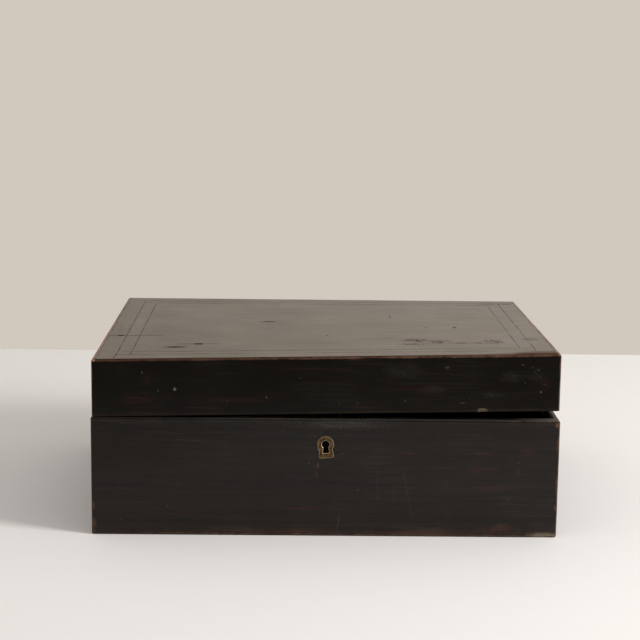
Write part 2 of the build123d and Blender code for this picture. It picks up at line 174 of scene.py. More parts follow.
class StudioSizes(bpy.types.PropertyGroup):
    """Table, backdrop and lamps."""
    table: colour("Table", "Colour of the table top", 231, 227, 224)
    wall: colour("Backdrop", "Colour of the backdrop", 209, 201, 190)
    wall_high: colour("Backdrop higher up", "Colour of the backdrop above the view", 226, 209, 191)
    table_back: length("Back edge of the table", "Distance of the table's back edge behind the box", 0.494)
    table_front: length("Front edge of the table", "Distance of the table's front edge before the box", 0.5)
    wall_back: length("Backdrop distance", "Distance of the backdrop behind the box", 1.9)
    key_distance: length("Lamp distance", "Distance of the soft lamp from the box", 2.2)
    key_size: length("Lamp size", "Side of the soft lamp", 0.62)
    key_side: angle("Lamp side", "Lamp's bearing to the right of the view", 66)
    key_height: angle("Lamp height", "Lamp's height over the horizon", 21)
    key_power: amount("Lamp power", "Power of the soft lamp, in W", 56, 1000)
    fill: amount("Fill", "Strength of the even light from all round", 0.72, 4)
    gloom: amount("Room", "Share of the even light that shows in reflections", 0.2)


class CameraPlace(bpy.types.PropertyGroup):
    """Where the camera stands and what it takes in."""
    place: bpy.props.FloatVectorProperty(name="Place", description="Place of the lens", size=3,
                                         subtype="TRANSLATION", unit="LENGTH",
                                         default=(-0.0201, -1.1673, 0.3331))
    bearing: angle("Bearing", "Turn to the right", 0.846)
    dip: angle("Dip", "Tilt below the horizon", 10.231)
    roll: angle("Roll", "Roll about the view", 0.709)
    lens: amount("Lens", "Focal length on a 36 mm sensor, in mm", 93.31, 500)


class Socket:
    """A node's output, so that shader maths reads as plain sums."""

    def __init__(self, finish, source):
        self.finish = finish
        self.source = source

    def math(self, operation, *values):
        return self.finish.node("ShaderNodeMath", {"operation": operation}, dict(enumerate(values)))

    def __add__(self, other):
        return self.math("ADD", self, other)

    __radd__ = __add__

    def __sub__(self, other):
        return self.math("SUBTRACT", self, other)

    def __rsub__(self, other):
        return self.math("SUBTRACT", other, self)

    def __mul__(self, other):
        return self.math("MULTIPLY", self, other)

    __rmul__ = __mul__

    def __truediv__(self, other):
        return self.math("DIVIDE", self, other)

    def __rtruediv__(self, other):
        return self.math("DIVIDE", other, self)

    def __abs__(self):
        return self.math("ABSOLUTE", self)

    def least(self, other):
        return self.math("MINIMUM", self, other)

    def most(self, other):
        return self.math("MAXIMUM", self, other)

    def root(self):
        return self.math("SQRT", self)

    def fade(self, start, end):
        """Smooth step that is 0 at start and 1 at end, which may be the lower of the two."""
        inputs = {"Value": self, "From Min": start, "From Max": end}
        return self.finish.node("ShaderNodeMapRange", {"interpolation_type": "SMOOTHSTEP"}, inputs)

    def below(self, edge, soft):
        """1 well below an edge, 0 well above it."""
        return self.fade(edge + soft, edge - soft)

    def above(self, edge, soft):
        return self.fade(edge - soft, edge + soft)


class Finish:
    """One material, or the world, made by plain calls. Places are in millimetres on the box at rest."""

    def __init__(self, name, kind="materials"):
        self.data = getattr(bpy.data, kind).new(name)
        self.data.use_nodes = True
        self.tree = self.data.node_tree
        self.tree.nodes.clear()

    def node(self, kind, settings=None, inputs=None, output=0):
        """Adds a node, its settings first and then its inputs, and gives one of its outputs."""
        made = self.tree.nodes.new(kind)
        for name, value in (settings or {}).items():
            setattr(made, name, value)
        for name, value in (inputs or {}).items():
            if isinstance(value, Socket):
                self.tree.links.new(value.source, made.inputs[name])
            else:
                made.inputs[name].default_value = value
        return Socket(self, made.outputs[output]) if len(made.outputs) else made

    def place(self):
        """Place on the box in millimetres, and its three parts."""
        here = self.node("ShaderNodeTexCoord", output="Object")
        scaled = self.node("ShaderNodeVectorMath", {"operation": "SCALE"}, {0: here, "Scale": 1 / MM})
        parts = [self.node("ShaderNodeSeparateXYZ", None, {0: scaled}, axis) for axis in range(3)]
        return scaled, *parts

    def stretched(self, place, scales, shift=0):
        moved = self.node("ShaderNodeVectorMath", {"operation": "ADD"}, {0: place, 1: (shift,) * 3})
        return self.node("ShaderNodeVectorMath", {"operation": "MULTIPLY"}, {0: moved, 1: scales})

    def noise(self, vector, scale=1, detail=2, rough=0.5, twist=0):
        inputs = {"Vector": vector, "Scale": scale, "Detail": detail, "Roughness": rough, "Distortion": twist}
        return self.node("ShaderNodeTexNoise", None, inputs)

    def mix(self, share, first, second):
        """Colour that goes from the first to the second."""
        inputs = {0: share, 6: first, 7: second}
        return self.node("ShaderNodeMix", {"data_type": "RGBA", "clamp_factor": True}, inputs, 2)

    def layered(self, shade, *layers):
        """Colour with others laid over it in turn, each by its mask."""
        for mask, over in layers:
            shade = self.mix(mask, shade, over)
        return shade

    def ray(self, kind):
        """1 for rays of one kind, 0 for all others."""
        return self.node("ShaderNodeLightPath", output=f"Is {kind} Ray")

    def bump(self, height, strength, distance):
        inputs = {"Height": height, "Strength": strength, "Distance": distance}
        return self.node("ShaderNodeBump", None, inputs)

    def close(self, surface, other=None, share=None):
        """Closes the material with one surface, or with two mixed by a share."""
        shader = self.node("ShaderNodeBsdfPrincipled", None, surface)
        if other is not None:
            second = self.node("ShaderNodeBsdfPrincipled", None, other)
            shader = self.node("ShaderNodeMixShader", None, {0: share, 1: shader, 2: second})
        self.node("ShaderNodeOutputMaterial", None, {"Surface": shader})
        return self.data

    def polished(self, shade, rough, normal, index, dry):
        """Closes the material with polish that is gone where the dry mask is 1."""
        bone_dry = {"Base Color": shade, "Roughness": DRY_ROUGHNESS, "Normal": normal, "IOR": DRY_INDEX}
        return self.close({**bone_dry, "Roughness": rough, "IOR": index}, bone_dry, dry)


def settings():
    return bpy.context.scene.old_box_wood, bpy.context.scene.old_box_metal


# Marks of use, in millimetres

def blot(u, v, middle, size, ragged):
    """Mask of an uneven oval patch. Ragged is noise about zero that breaks its edge."""
    across = (u - middle[0]) / size[0]
    along = (v - middle[1]) / size[1]
    distance = (across * across + along * along).root() + ragged
    return distance.fade(1, 0.55)


def stroke(u, v, start, end, width, ragged):
    """Mask of a scratch from start to end."""
    run = (end[0] - start[0], end[1] - start[1])
    square = run[0] ** 2 + run[1] ** 2
    share = ((u - start[0]) * (run[0] / square) + (v - start[1]) * (run[1] / square)).least(1).most(0)
    across = u - start[0] - share * run[0]
    along = v - start[1] - share * run[1]
    distance = (across * across + along * along).root() / width + ragged
    return distance.fade(1, 0.3)


def together(masks):
    """Highest of several masks."""
    masks = list(masks)
    highest = masks[0]
    for mask in masks[1:]:
        highest = highest.most(mask)
    return highest


def painted_keyhole_shade(x, z):
    return blot(x, z, KEYHOLE, KEYHOLE_SHADE, 0).above(0.5, 0.1)


def blots(u, v, marks, ragged):
    return together(blot(u, v, *mark, ragged) for mark in marks)


def strokes(u, v, marks, ragged):
    return together(stroke(u, v, *mark, ragged) for mark in marks)


# Each mark is a middle and half sizes, or a start, an end and half a width
LID_CHIPS = [((-97.8, 97.6), (1, 0.9)), ((101.5, 85.6), (3.4, 1.5))]
LID_SPECKS = [((-38.7, 93), (0.7, 0.8)), ((-16.8, 106), (0.5, 0.5)), ((139.2, 98), (0.8, 0.9)),
              ((-108.5, 96.6), (0.5, 0.7)), ((-64, 90.5), (0.4, 0.4)), ((8.5, 89), (0.5, 0.5)),
              ((78, 113.8), (1.4, 0.8)), ((88.3, 90.4), (2, 0.35)), ((-119, 108.5), (0.7, 0.8)),
              ((126.8, 115.9), (1.3, 0.4)), ((136.9, 112.7), (0.9, 0.5)), ((133, 114.5), (0.5, 0.4)),
              ((121, 108.6), (1.3, 0.35)), ((128.5, 104.5), (0.4, 0.5)), ((141, 103), (0.4, 0.4)),
              ((51.2, 91.3), (0.4, 0.7)), ((20.4, 89.7), (0.6, 0.4)), ((93, 93.4), (0.4, 0.4))]
LID_SCUFFS = [((50, 111), (13, 5.5)), ((121, 108), (9, 4)), ((136, 108.5), (7, 5)), ((70, 99), (8, 3)),
              ((108, 96), (9, 2.5))]
LID_REDS = [((-121, 91), (13, 6)), ((-116, 104), (4, 5)), ((-60, 91), (26, 2.5)), ((60, 100), (26, 2.4)),
            ((142, 103), (4, 6)), ((-10, 112), (30, 1.4))]
LID_BARED = [((151.7, 115), (1.3, 9)), ((151.7, 97), (1.1, 12)), ((-151.7, 106), (1, 11)),
             ((-151.7, 88), (0.9, 8))]
BASE_CHIPS = [((21.6, 31.6), (0.45, 0.55)), ((-133, 10.6), (0.5, 0.4)), ((-103, 19.6), (0.7, 0.3)),
              ((126.5, 50.6), (0.35, 0.35)), ((119.4, 26), (0.4, 0.4))]
BASE_BARED = [((-4.8, 47.6), (0.8, 2)), ((-6.6, 46.4), (0.5, 0.6)), ((151.8, 61.7), (1.3, 5.5)),
              ((151.8, 36), (1.2, 7)), ((151.2, 20.5), (0.9, 2.2)), ((150.6, 76), (1.6, 1.8)),
              ((-151.6, 19.4), (1.7, 3)), ((-151.4, 7.2), (2.3, 4.6)), ((-150.6, 2.6), (1.4, 1.2)),
              ((-10.6, 49), (0.8, 0.6))]
BASE_SCRATCHES = [((50.9, 43.5), (54.4, 27), 0.42), ((54.4, 27), (57.6, 12.5), 0.26),
                  ((9.6, 13.5), (8.2, 4), 0.5), ((-98, 64.1), (-82, 63.8), 0.26),
                  ((-120, 70), (-98, 69.2), 0.2), ((34.2, 52), (34.6, 25), 0.24),
                  ((44.6, 32.4), (44.7, 27), 0.3), ((46.6, 32), (46.7, 28), 0.25),
                  ((7.6, 54.2), (12.4, 56.2), 0.45), ((-7.4, 67), (-3, 69.6), 0.4),
                  ((-6, 43.6), (-5.4, 40), 0.7)]
BASE_REDS = [((-127, 31.5), (13, 1)), ((-5, 18.6), (30, 1)), ((-98, 14), (16, 1)), ((51, 56.4), (13, 1.4)),
             ((103, 57), (10, 1.6)), ((103, 45.5), (14, 3)), ((108, 33), (16, 2.4)), ((126, 44), (1.8, 5)),
             ((115, 5), (12, 3.2)), ((132, 58), (7, 3)), ((60, 3), (50, 2)), ((-40, 3), (60, 1.4))]
TOP_STAINS = [((-100, -81), (8.5, 3.8)), ((-85.5, -70.5), (4.6, 4.2)), ((-78, -70.5), (11, 0.9)),
              ((-92, -70.5), (9, 0.8)), ((1.5, -42), (1.2, 1.2)), ((72, -10.5), (1.2, 1)),
              ((92.5, -10.5), (1.6, 3)), ((142, 105), (7, 2.4)), ((-141, -39), (2.6, 2.4)),
              ((-40, 16), (7, 1.8)), ((127, 104), (9, 1.4))]
TOP_SCUFFS = [((62, -63), (10, 8)), ((77, -69), (9, 9)), ((113, -70), (7, 10)), ((95, -75), (14, 4)),
              ((60, -78), (12, 4))]
TOP_SCRATCHES = [((49.4, 46), (49, 30), 1.3), ((-46, 13), (-22, 18), 0.5), ((-58, 8), (-30, 14), 0.5),
                 ((86, -20), (110, -12), 0.5), ((20, -60), (48, -52), 0.5), ((-120, 60), (-90, 52), 0.5),
                 ((10, 70), (60, 84), 0.5)]
TOP_CUTS = [((-151, -37), (-112, -39), 0.7), ((-137.3, -106), (-137.6, -117.5), 0.5),
            ((-127.8, -97), (-128.2, -105), 0.5)]

# The lid's warp, in millimetres: its lift over the rim at the back, and at the two front corners
LIFT_BACK = 0.6
LIFT_LEFT = 0.4
LIFT_RIGHT = 6.8
LID_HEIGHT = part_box("lid_front")[1].z / MM - RIM - LIFT_RIGHT


def shares(x, y):
    """How far forward and how far across a place is on the lid, from 0 to 1."""
    return (HALF_DEPTH - y) / (2 * HALF_DEPTH), (x + LID_HALF) / (2 * LID_HALF)


def lift(x, y):
    """Lift of the warped lid at a place, for plain numbers and for sockets alike."""
    forward, across = shares(x, y)
    return LIFT_BACK + (across * (LIFT_RIGHT - LIFT_LEFT) + (LIFT_LEFT - LIFT_BACK)) * forward


class Outside:
    """Distances in millimetres from a place to the outer planes of the base or of the lid."""

    def __init__(self, x, y, z, lid):
        self.side = (LID_HALF if lid else HALF_WIDTH) - abs(x)
        self.end = HALF_DEPTH - abs(y)
        self.foot = z - RIM - lift(x, y) if lid else z
        self.top = (LID_HEIGHT if lid else RIM) - self.foot

    def nearest(self):
        return self.side.least(self.end)

    def top_edge(self):
        return self.top.most(self.nearest())

    def foot_edge(self):
        return self.foot.most(self.nearest())

    def corner(self):
        return self.side.most(self.end)

    def recess(self):
        """1 where a knock has taken wood away, so the surface lies a little below the outer planes."""
        first = self.nearest().least(self.top).least(self.foot)
        second = self.top_edge().least(self.foot_edge()).least(self.corner())
        return (first - second.below(2.2, 0.5) * 0.5).above(0.16, 0.06) * first.below(1.8, 0.3)

    def inside(self):
        """1 on the faces that look into the box."""
        return self.side.above(WALL - 0.5, 0.2) * self.end.above(WALL - 0.5, 0.2)


def grain_scales(along, fine, coarse):
    """Noise scales that draw out streaks along one axis."""
    return tuple(coarse if axis == along else fine for axis in range(3))


def hairlines(finish, place, turn, scales):
    """Noise drawn out into hairlines at an angle to the grain."""
    inputs = {"Vector": place, "Rotation": turn}
    turned = finish.node("ShaderNodeVectorRotate", {"rotation_type": "EULER_XYZ"}, inputs)
    return finish.noise(finish.stretched(turned, scales), 1, 3, 0.7)


class Timber:
    """Place, grain and noises that the marks on one board share."""

    def __init__(self, finish, lid, along, seed):
        self.finish = finish
        self.place, self.x, self.y, self.z = finish.place()
        self.outside = Outside(self.x, self.y, self.z, lid)
        shift = 17 * seed
        stretched = [finish.stretched(self.place, grain_scales(along, fine, coarse), shift)
                     for fine, coarse in ((0.32, 0.011), (3, 0.05), (0.9, 0.03))]
        self.figure = finish.noise(stretched[0], 1, 5, 0.6, 0.4)
        self.pores = finish.noise(stretched[1], 1, 3, 0.7)
        self.streak = finish.noise(stretched[2], 1, 4, 0.62, 0.6)
        self.cloud = finish.noise(self.place, 0.018, 3, 0.55)
        self.fleck = finish.noise(self.place, 0.9, 3, 0.7)
        self.run = finish.noise(self.place, 0.07, 4, 0.62)
        self.grit = (finish.noise(self.place, 2.4, 3, 0.65) - 0.5) * 3
        self.ragged = (self.fleck - 0.5) * 1.3 + (self.streak - 0.5) * 1.6

    def edge(self, distance, width):
        """Mask of the wear along an edge, a little uneven, out to a width in millimetres."""
        uneven = (self.run - 0.5) * 1.5 + (self.fleck - 0.5) * 0.55
        return (distance / width - uneven).below(1, 0.22)


class Marks:
    """Masks of the marks on a board: red and bared wood, grey scratches, fresh chips, dark stains, dry
    polish, and painted shade inside the keyhole, where no light reaches. A mask that isn't given is 0."""

    def __init__(self, red=0, grey=0, chip=0, dark=0, dry=0, bared=0, painted_shade=0):
        self.red, self.grey, self.chip, self.dark, self.dry = red, grey, chip, dark, dry
        self.bared, self.painted_shade = bared, painted_shade


def lip_wear(board):
    """Mask of the wear on the front edge of the top, which widens to the right."""
    outside = board.outside
    lip = (outside.end - board.x.fade(90, 150) * 11 - board.ragged * 1.6).below(2.6, 1.8)
    lip = lip * outside.side.above(0.6, 0.3) * outside.top.below(1, 0.3) * board.y.below(0, 5)
    return lip * (board.x.fade(30, 130) * 0.7 + 0.2) * board.run.fade(0.15, 0.5)


def bare_inside(board, wood, lid, top):
    """Colour of the bare wood inside, with stain run over the rim, and the mask of where it shows."""
    finish, outside = board.finish, board.outside
    shade = finish.mix(board.figure.fade(0.3, 0.7), wood.bare_dark, wood.bare)
    shade = finish.mix(board.pores.above(0.57, 0.06) * 0.7, shade, wood.bare_dark)
    if top:
        return shade, outside.top.above(PANEL / 2, 0.2)
    inside = outside.inside()
    if lid:
        over_rim = outside.foot.below(9, 1.5)
    else:
        inside = inside.most(outside.foot.below(0.25, 0.1))
        over_rim = (outside.top + (board.run - 0.5) * 9).below(12, 1.5)
    return finish.mix(over_rim * 0.92, shade, wood.black), inside


def ebonised(name, lid=False, along=0, marks=None, top=False):
    """Black-stained and polished wood with grain, worn edges and bare faces inside."""
    wood, _ = settings()
    finish = Finish(name)
    board = Timber(finish, lid, along, 1 + sum(map(ord, name)) % 23)
    outside = board.outside
    made = marks(board) if marks else Marks()

    thin = wood.top_brown if top else wood.lid_brown if lid else wood.brown
    surface = finish.mix(board.figure.fade(0.25, 0.8), wood.black, thin)
    red = board.streak.above(0.66, 0.06) * board.cloud.above(0.52, 0.1) * 0.3
    pores = board.pores.above(0.62, 0.08) * 0.22
    bloom = board.cloud.above(0.6, 0.2) * board.streak.above(0.5, 0.12) * (0.05 if lid else 0.09)
    surface = finish.layered(surface, (red.most(made.red), wood.red), (pores, wood.black), (bloom, wood.grey),
                             (made.dark, wood.black), (made.grey, wood.grey))

    upright = outside.end.below(0.8, 0.3).most(outside.side.below(2, 0.2)).most(board.y.above(0, 5))
    top_wear = board.edge(outside.top_edge(), wood.lid_wear if lid else wood.rim_wear) * upright
    corner_wear = board.edge(outside.corner(), wood.corner_wear)
    foot_wear = board.edge(outside.foot_edge(), wood.foot_wear) * outside.foot.above(0.6, 0.3)
    foot_wear = foot_wear * (0.12 if lid else 0.6)
    rubbed = board.run.fade(0.35, 0.65)
    if lid:
        to_right = board.x.fade(-0.9 * LID_HALF, 0.4 * LID_HALF) * 0.4
        rubbed = rubbed * (to_right + outside.side.below(2, 0.3) + 0.2)
    bared = finish.mix(rubbed, wood.worn, wood.rubbed)
    if lid:
        side_arris = outside.side.below(2.4, 0.4) * outside.top.below(1.2, 0.4)
        side_wear = board.edge(outside.side.most(outside.top), 2.4) * side_arris
        side_wear = side_wear * board.fleck.fade(0.32, 0.52)
        # Palest wood along the top's side arrises: partly wear, partly a painted highlight
        bared = finish.mix(side_arris * board.streak.fade(0.35, 0.6), bared, wood.pale_wear_and_highlight)
        lip = lip_wear(board)
        wear = together((top_wear, corner_wear, foot_wear, side_wear, lip))
    else:
        bare_rim = board.x.above(0.74 * HALF_WIDTH, 6) * 0.55 + 0.05
        rim_top = outside.top.below(0.3, 0.1)
        dust = rim_top * outside.nearest().below(4, 2) * board.run.fade(0.1, 0.5)
        dust = dust * (board.x.fade(-140, -30) * 0.22 + 0.12)
        surface = finish.layered(surface, (dust, wood.grey), (top_wear * bare_rim, wood.rubbed))
        # The wear is kept off the lowest 0.9 mm of the base, which stays black as painted contact shade
        wear = corner_wear.most(foot_wear) * outside.foot.above(0.9, 0.25)
    wear = wear.most(made.bared)
    if top:
        recess, fresh = outside.recess(), wood.black
    else:
        recess, fresh = outside.recess() * 0.85, finish.mix(board.fleck.above(0.5, 0.1), wood.worn, wood.tan)
    bare_wood, inside = bare_inside(board, wood, lid, top)
    # The keyhole's inside is painted black last, as painted shade
    surface = finish.layered(surface, (wear * 0.9, bared), (made.chip, wood.tan), (recess, fresh),
                             (inside, bare_wood), (made.painted_shade, wood.painted_shade))

    dry = (wear * 0.6).most(inside * 0.9)
    if lid:
        dry = dry.most(lip * board.x.above(118, 12) * outside.end.below(8, 5) * 1.1)
    else:
        dry = dry.most(rim_top * 0.6)
    dry = together((dry, made.dry, made.chip, made.painted_shade))
    rough = (wood.top_polish if top else wood.polish) + (board.figure - 0.5) * 0.1
    rough = rough + (board.cloud - 0.5) * 0.14 + made.grey * 0.15
    height = board.pores * 0.3 + board.figure * 0.35 + board.fleck * 0.1 - wear * 0.2 - made.chip * 0.8
    normal = finish.bump(height, 0.22, 0.12 * MM)
    index = wood.top_index if top else wood.lid_index if lid else wood.polish_index
    return finish.polished(surface, rough, normal, index, dry)


def base_front_marks(board):
    x, z, ragged = board.x, board.z, board.ragged
    streaky = board.streak.above(0.47, 0.1) * board.fleck.above(0.4, 0.15)
    reds = blots(x, z, BASE_REDS, ragged + board.grit * 0.2) * streaky
    scratches = strokes(x, z, BASE_SCRATCHES, ragged * 0.6) * board.fleck.above(0.46, 0.08)
    chips = blots(x, z, BASE_CHIPS, board.grit * 0.6)
    corner = blot(x, z, (144.5, 1.4), (11, 2.2), board.grit + ragged * 0.6)
    bared = blots(x, z, BASE_BARED, board.grit * 0.8) * board.outside.end.below(2, 0.6)
    under_rim = blot(x, z, (12, 75.6), (38, 3.2), ragged * 2) * board.streak.fade(0.35, 0.65) * 0.3
    rim_line = board.outside.top.above(1.2, 0.3) * board.outside.top.below(2.6, 0.9)
    rim_line = rim_line * board.run.fade(0.3, 0.7) * 0.06
    patch = blot(x, z, (116.6, 7), (7, 3.6), board.grit * 0.7) * board.streak.fade(0.35, 0.6) * 0.42
    # Painted shade: the keyhole's walls behind the escutcheon are painted black
    keyhole = painted_keyhole_shade(x, z) * board.outside.end.above(1.3, 0.1)
    halo = blot(x, z, KEYHOLE, (11, 13), ragged * 0.8) * 0.45
    dull = blot(x, z, (-150, 80), (110, 46), ragged * 0.4)
    foot = z.below(6.5, 4.5) * board.streak.fade(0.3, 0.6) * (board.x.fade(-150, 150) * 0.1 + 0.12)
    return Marks(red=reds * 0.42, grey=(scratches * 0.2).most(under_rim).most(rim_line),
                 chip=(chips * 0.5).most(corner * 0.7), bared=(bared * 0.85).most(patch).most(foot),
                 dark=halo.most(dull * 0.3), dry=dull * 0.22, painted_shade=keyhole)


def lid_front_marks(board):
    x, z, ragged = board.x, board.z, board.ragged
    streaky = board.streak.above(0.45, 0.12) * board.fleck.above(0.42, 0.12)
    reds = blots(x, z, LID_REDS, ragged * 1.3 + board.grit * 0.5) * streaky
    hairs = hairlines(board.finish, board.place, (0, radians(-42), 0), (0.14, 3, 3.2)).above(0.55, 0.08)
    scuffs = blots(x, z, LID_SCUFFS, ragged * 1.5) * (hairs * 0.8 + 0.12)
    specks = blots(x, z, LID_SPECKS, board.grit * 1.1)
    chips = blots(x, z, LID_CHIPS, board.grit * 0.9)
    bared = blots(x, z, LID_BARED, board.grit * 0.5) * board.outside.end.below(2, 0.6)
    return Marks(red=reds * board.fleck.fade(0.3, 0.62) * 0.3, grey=(scuffs * 0.12).most(specks * 0.36),
                 chip=chips * 0.8, bared=bared * 0.85)


def top_marks(board):
    x, y, ragged = board.x, board.y, board.ragged
    cross = hairlines(board.finish, board.place, (0, 0, radians(68)), (0.12, 0.8, 1)).above(0.5, 0.08)
    scuffs = blots(x, y, TOP_SCUFFS, ragged * 1.6) * cross
    scratches = strokes(x, y, TOP_SCRATCHES, ragged)
    stains = blots(x, y, TOP_STAINS, ragged * 0.9)
    faint = blot(x, y, (139.5, -61), (8, 8), ragged * 1.1) * board.fleck.fade(0.3, 0.6) * 0.5
    crack = strokes(x, y, TOP_CUTS, ragged * 0.5)
    joint = abs(board.outside.nearest() - LID_LIP).below(0.25, 0.15) * board.run.above(0.5, 0.05)
    lines = together(abs(board.outside.end - away).below(1.1, 0.3) for away in LINES_IN)
    lines = lines * board.outside.side.above(14, 0.3) * board.run.fade(0.3, 0.6) * 0.5
    dark = together((stains, crack, joint, lines, faint))
    faded = board.streak.fade(0.4, 0.8) * 0.16 + board.figure.above(0.62, 0.08) * 0.06
    dry = (dark * 0.75).most(scuffs * 0.85).most(scratches * 0.3).most(faded)
    return Marks(red=scuffs * 0.8, dark=dark, dry=dry)


def brass(name, polish, painted_shade_share=0, rubbed=0):
    """Old brass: bright where it is rubbed, brown with dirt elsewhere. Rubbed brass takes the rim colour,
    lightened as a painted highlight. A share of painted shade darkens a part nearly to black, and the lock
    seen through the keyhole is painted black as shade.
    """
    _, metal = settings()
    finish = Finish(name)
    place, x, y, z = finish.place()
    cloud = finish.noise(place, 0.35, 4, 0.65)
    fine = finish.noise(place, 2.5, 3, 0.7)
    bright = (cloud + (fine - 0.5) * 0.6).fade(0.38, 0.62) * (1 - rubbed) + rubbed
    shade = finish.mix(bright, metal.tarnish, finish.mix(rubbed, metal.brass, metal.rim))
    # Painted shade: the lock seen through the keyhole is painted black and dull
    behind = painted_keyhole_shade(x, z) * y.above(FRONT + LOCK_SHADE[0], 0.3) * y.below(FRONT + LOCK_SHADE[1], 0.2)
    shade = finish.layered(shade, (fine.above(0.62, 0.05) * 0.6, metal.dirt),
                           (cloud.fade(0.2, 0.6) * 0.2 + painted_shade_share, metal.grime_and_shade), (behind, metal.grime_and_shade))
    rough = polish + (fine - 0.5) * 0.25 + behind * 0.4
    normal = finish.bump(fine + cloud, 0.3, 0.08 * MM)
    metallic = (behind * -0.8 + 1) * (0.85 - 0.55 * rubbed - 0.75 * painted_shade_share)
    return finish.close({"Base Color": shade, "Roughness": rough, "Normal": normal, "Metallic": metallic,
                         "Specular IOR Level": 0.5 * (1 - painted_shade_share)})


def steel(name):
    """Spring steel with spots of rust."""
    _, metal = settings()
    finish = Finish(name)
    place = finish.place()[0]
    spots = finish.noise(place, 1.4, 4, 0.7)
    shade = finish.mix(spots.above(0.55, 0.08), metal.steel, metal.rust)
    normal = finish.bump(spots, 0.3, 0.06 * MM)
    return finish.close({"Base Color": shade, "Roughness": 0.38 + spots * 0.3, "Normal": normal,
                         "Metallic": spots.below(0.6, 0.1)})


def bare(name, along):
    """Unfinished red-brown wood with open pores."""
    wood, _ = settings()
    finish = Finish(name)
    place = finish.place()[0]
    figure = finish.noise(finish.stretched(place, grain_scales(along, 0.3, 0.011), 31), 1, 5, 0.6, 0.5)
    pores = finish.noise(finish.stretched(place, grain_scales(along, 3, 0.06), 7), 1, 3, 0.7)
    cloud = finish.noise(place, 0.02, 3, 0.6)
    shade = finish.mix(figure.fade(0.3, 0.7), wood.bare_dark, wood.bare)
    shade = finish.layered(shade, (pores.above(0.58, 0.06) * 0.7, wood.bare_dark),
                           (cloud.above(0.6, 0.12) * 0.45, wood.brown))
    normal = finish.bump(pores * 0.5 + figure * 0.5, 0.4, 0.12 * MM)
    return finish.close({"Base Color": shade, "Roughness": 0.62 + (figure - 0.5) * 0.2, "Normal": normal,
                         "IOR": 1.4})


def stringing(name):
    """Dark line let into the top, its polish worn off here and there."""
    wood, _ = settings()
    finish = Finish(name)
    place = finish.place()[0]
    broken = finish.noise(place, 0.1, 4, 0.6)
    fine = finish.noise(place, 1.6, 3, 0.7)
    shade = finish.mix(broken.above(0.58, 0.1) * 0.5, wood.black, wood.red)
    normal = finish.bump(fine, 0.3, 0.1 * MM)
    dry = broken.fade(0.3, 0.7) * 0.55 + fine * 0.15
    return finish.polished(shade, wood.top_polish, normal, wood.top_index, dry)


# Knocks, cracks and dents, cut out of copies of the boards

BASE_BOARDS = ("base_front", "base_back", "base_left_side", "base_right_side")
LID_BOARDS = ("lid_front", "lid_back", "lid_left_side", "lid_right_side", "lid_top_panel",
              "lid_outer_line", "lid_inner_line")

# Middle and half sizes in millimetres. Heights on the lid are over its foot. The crack wanders over the top.
BASE_KNOCKS = [((-152.5, -120.5, 7), (1.3, 1.5, 4.2)), ((-152.5, -120.5, 19), (1.1, 1.3, 2.2)),
               ((147, -120.5, 0), (5.5, 1.2, 1)), ((152.5, -120.5, 1), (1.6, 1.8, 1.8)),
               ((-133, -120.5, 10.6), (0.6, 0.25, 0.5)), ((152.5, -120.5, 77.5), (1.1, 1.2, 1.4)),
               ((128, -120.5, 78.7), (2.6, 0.9, 0.8)), ((-152.5, 96, 0), (1.2, 3, 1.2)),
               ((152.5, 120.5, 4), (1.4, 1.3, 3)), ((-60, 120.5, 0), (5, 1.3, 1.1)),
               ((152.5, -40, 0), (1.2, 4.2, 1.1))]
LID_KNOCKS = [((101.5, -120.5, 0.3), (2.9, 1.6, 1.6)), ((-97.8, -120.5, 18), (1.1, 0.5, 0.9)),
              ((139.2, -120.5, 13), (0.7, 0.25, 0.8)), ((151.7, -120.5, 37.8), (1.7, 1.9, 1.6)),
              ((-151.7, -120.5, 37.6), (1.4, 1.4, 1.3)), ((-140.8, -38.4, 37.8), (2.3, 0.8, 0.7)),
              ((-40, 16, 37.9), (6.5, 0.9, 0.28)), ((-100, -81, 38), (7.5, 1.5, 0.36)),
              ((-85.5, -70.5, 38), (5, 1.6, 0.4)), ((151.7, 120.5, 37.6), (1.8, 1.6, 1.4)),
              ((-151.7, 40, 37.8), (1.3, 3.6, 1.1)), ((40, 120.5, 37.8), (4.2, 1.4, 1.1)),
              ((-151.7, -38, 37.8), (1.5, 0.7, 1.6)), ((130, -120.5, 37.8), (5, 1.1, 1.15)),
              ((-151.7, 120.5, 20), (1.4, 1.3, 3.5))]
LID_CRACK = [(-150.6, -37.6), (-146, -38.6), (-141, -38.2), (-134.5, -38.9), (-128, -38.3), (-121.5, -39.1),
             (-115, -38.8)]
CRACK_MIDDLE = (-132.8, -38.4)
CRACK_REACH = (17.8, 1)

# Small knocks along the arrises: start, end, number and half size across, with heights as above
BASE_ARRISES = [((-140, FRONT, RIM), (120, FRONT, RIM), 9, 0.62),
                ((-140, FRONT, 0), (135, FRONT, 0), 8, 0.66),
                ((HALF_WIDTH, FRONT, 8), (HALF_WIDTH, FRONT, 70), 6, 0.66),
                ((-HALF_WIDTH, FRONT, 26), (-HALF_WIDTH, FRONT, 70), 3, 0.62),
                ((-HALF_WIDTH, FRONT + 20, RIM), (-HALF_WIDTH, BACK - 12, RIM), 5, 0.62),
                ((HALF_WIDTH, FRONT + 20, RIM), (HALF_WIDTH, BACK - 12, RIM), 5, 0.62)]
LID_ARRISES = [((-143, FRONT, LID_HEIGHT), (118, FRONT, LID_HEIGHT), 17, 0.95),
               ((-LID_HALF, FRONT + 14, LID_HEIGHT), (-LID_HALF, 28, LID_HEIGHT), 8, 0.98),
               ((LID_HALF, FRONT + 14, LID_HEIGHT), (LID_HALF, BACK - 14, LID_HEIGHT), 9, 0.95),
               ((-120, BACK, LID_HEIGHT), (30, BACK, LID_HEIGHT), 6, 0.95),
               ((LID_HALF, FRONT, 6), (LID_HALF, FRONT, 31), 3, 0.92)]


